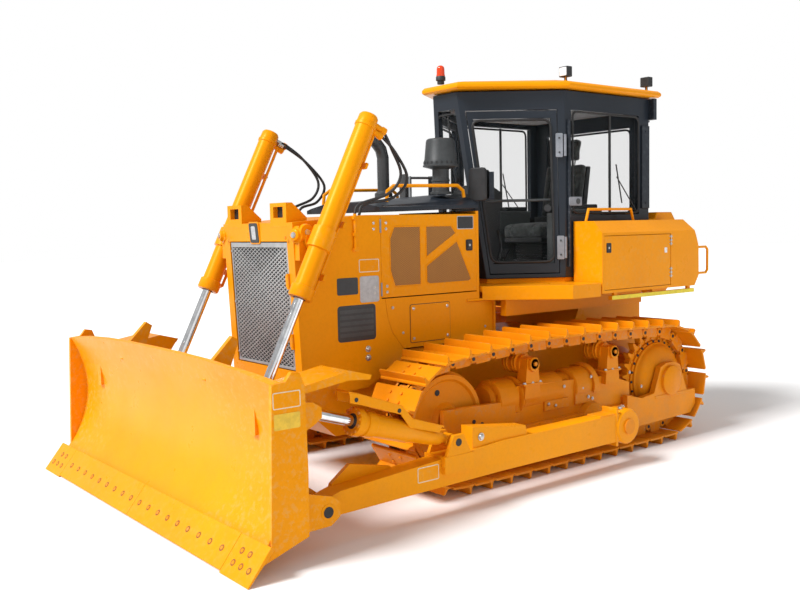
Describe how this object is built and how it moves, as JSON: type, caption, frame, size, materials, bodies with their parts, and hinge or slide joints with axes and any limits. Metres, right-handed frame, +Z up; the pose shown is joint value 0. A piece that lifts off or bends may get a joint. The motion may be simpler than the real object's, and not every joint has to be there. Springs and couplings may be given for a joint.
{
  "type": "crawler dozer with a straight tilting blade",
  "caption": "Crawler dozer: straight tilting blade on two push arms with lift cylinders, hooded engine, six-sided glazed cab, fender boxes and shoe tracks.",
  "frame": {"origin": "on the ground under the middle of the machine's length, on its centre plane", "axes": "-Y forwards, +X the machine's left, +Z up"},
  "size_m": [3.388, 5.3067, 3.291],
  "materials": {
    "yellow_paint": "gloss paint, worn at the edges",
    "dark_paint": "semi-gloss slate paint",
    "black_plastic": "matt",
    "steel": "bare or greyed",
    "glass": "clear, faintly tinted",
    "amber_lens": "clear coloured lens",
    "chrome": "polished rod",
    "seat_fabric": "woven cloth"
  },
  "bodies": {
    "root": {"main_frame": "yellow_paint", "engine_block": "steel", "radiator_guard": "yellow_paint", "radiator_core": "black_plastic", "hood_cover": "dark_paint", "hood_frame": "yellow_paint", "cab_frame": "dark_paint", "windshield": "glass", "rear_window": "glass", "side_window_left": "glass", "side_window_right": "glass", "cab_roof": "yellow_paint", "beacon": "amber_lens", "seat": "seat_fabric", "control_consoles": "black_plastic", "instrument_panel": "black_plastic", "platform": "yellow_paint", "battery_box": "yellow_paint", "hydraulic_tank": "yellow_paint", "fuel_tank": "yellow_paint", "exhaust_stack": "black_plastic", "air_precleaner": "black_plastic", "hood_rail_left": "yellow_paint", "hood_rail_right": "yellow_paint", "track_left": "yellow_paint", "track_right": "yellow_paint", "idler_left": "yellow_paint", "idler_right": "yellow_paint", "sprocket_left": "yellow_paint", "sprocket_right": "yellow_paint", "track_frame_left": "yellow_paint", "track_frame_right": "yellow_paint"},
    "radiator_grille": {"radiator_grille": "dark_paint"},
    "battery_door": {"battery_door": "yellow_paint"},
    "cab_door_left": {"cab_door_left": "dark_paint", "door_glass_left": "glass"},
    "engine_door_left": {"engine_door_left": "yellow_paint"},
    "push_arm_left": {"push_arm_left": "yellow_paint"},
    "lift_cylinder_barrel_left": {"lift_cylinder_barrel_left": "yellow_paint"},
    "lift_cylinder_rod_left": {"lift_cylinder_rod_left": "chrome"},
    "cab_door_right": {"cab_door_right": "dark_paint", "door_glass_right": "glass"},
    "engine_door_right": {"engine_door_right": "yellow_paint"},
    "push_arm_right": {"push_arm_right": "yellow_paint"},
    "lift_cylinder_barrel_right": {"lift_cylinder_barrel_right": "yellow_paint"},
    "lift_cylinder_rod_right": {"lift_cylinder_rod_right": "chrome"},
    "blade": {"blade": "yellow_paint", "cutting_edge": "yellow_paint", "tilt_brace": "yellow_paint"},
    "tilt_cylinder_barrel": {"tilt_cylinder_barrel": "yellow_paint"},
    "tilt_cylinder_rod": {"tilt_cylinder_rod": "chrome"}
  },
  "joints": [
    {"name": "blade_lift", "type": "hinge", "parent": "root", "child": "push_arm_right", "pos_m": [-1.4, 0.8565, 0.33], "axis": [1, 0, 0], "range_deg": [-17.9, 9]},
    {"name": "blade_tilt", "type": "hinge", "parent": "push_arm_right", "child": "blade", "pos_m": [-1.4, -2.0185, 0.258], "axis": [0, -1, 0], "range_deg": [-6, 6]},
    {"name": "left_arm_follow", "type": "hinge", "parent": "push_arm_right", "child": "push_arm_left", "pos_m": [1.4, 0.8565, 0.33], "axis": [-1, 0, 0], "range_deg": [-5.86, 5.86]},
    {"name": "tilt_cylinder_swing", "type": "hinge", "parent": "push_arm_left", "child": "tilt_cylinder_barrel", "pos_m": [1.4, -0.9525, 0.5], "axis": [0.3303, -0.2785, -0.9019], "range_deg": [-3.2, 3.2]},
    {"name": "tilt_rod_slide", "type": "slide", "parent": "tilt_cylinder_barrel", "child": "tilt_cylinder_rod", "axis": [0, -0.9555, 0.2951], "range_m": [-0.04919, 0.04919]},
    {"name": "lift_cylinder_swing_left", "type": "hinge", "parent": "root", "child": "lift_cylinder_barrel_left", "pos_m": [0.68, -1.4435, 1.85], "axis": [1, 0, 0], "range_deg": [-15.72, 7.92]},
    {"name": "lift_rod_slide_left", "type": "slide", "parent": "lift_cylinder_barrel_left", "child": "lift_cylinder_rod_left", "axis": [0, -0.4445, -0.8958], "range_m": [-0.85751, 0.4314]},
    {"name": "lift_cylinder_swing_right", "type": "hinge", "parent": "root", "child": "lift_cylinder_barrel_right", "pos_m": [-0.68, -1.4435, 1.85], "axis": [1, 0, 0], "range_deg": [-15.72, 7.92]},
    {"name": "lift_rod_slide_right", "type": "slide", "parent": "lift_cylinder_barrel_right", "child": "lift_cylinder_rod_right", "axis": [0, -0.4445, -0.8958], "range_m": [-0.85751, 0.4314]},
    {"name": "cab_door_hinge_left", "type": "hinge", "parent": "root", "child": "cab_door_left", "pos_m": [0.69001, 0.98347, 2], "axis": [0, 0, 1], "range_deg": [0, 100]},
    {"name": "cab_door_hinge_right", "type": "hinge", "parent": "root", "child": "cab_door_right", "pos_m": [-0.69001, 0.98347, 2], "axis": [0, 0, -1], "range_deg": [0, 100]},
    {"name": "engine_door_hinge_left", "type": "hinge", "parent": "root", "child": "engine_door_left", "pos_m": [0.508, -0.8035, 1.7], "axis": [0, 0, -1], "range_deg": [0, 95]},
    {"name": "engine_door_hinge_right", "type": "hinge", "parent": "root", "child": "engine_door_right", "pos_m": [-0.508, -0.8035, 1.7], "axis": [0, 0, 1], "range_deg": [0, 95]},
    {"name": "battery_door_hinge", "type": "hinge", "parent": "root", "child": "battery_door", "pos_m": [1.03, 2.0505, 1.65], "axis": [0, 0, 1], "range_deg": [0, 100]},
    {"name": "grille_hinge", "type": "hinge", "parent": "root", "child": "radiator_grille", "pos_m": [0.425, -1.53677, 0.92], "axis": [0, -0.0452, 0.999], "range_deg": [0, 55]}
  ],
  "couplings": [
    {"joint": "left_arm_follow", "follows": "blade_tilt", "ratio": 0.97391},
    {"joint": "tilt_cylinder_swing", "follows": "blade_tilt", "ratio": 0.53035},
    {"joint": "tilt_rod_slide", "follows": "blade_tilt", "m_per_rad": 0.46493},
    {"joint": "lift_cylinder_swing_left", "follows": "blade_lift", "ratio": 0.87735},
    {"joint": "lift_rod_slide_left", "follows": "blade_lift", "m_per_rad": 2.7432},
    {"joint": "lift_cylinder_swing_right", "follows": "blade_lift", "ratio": 0.87735},
    {"joint": "lift_rod_slide_right", "follows": "blade_lift", "m_per_rad": 2.7432}
  ]
}
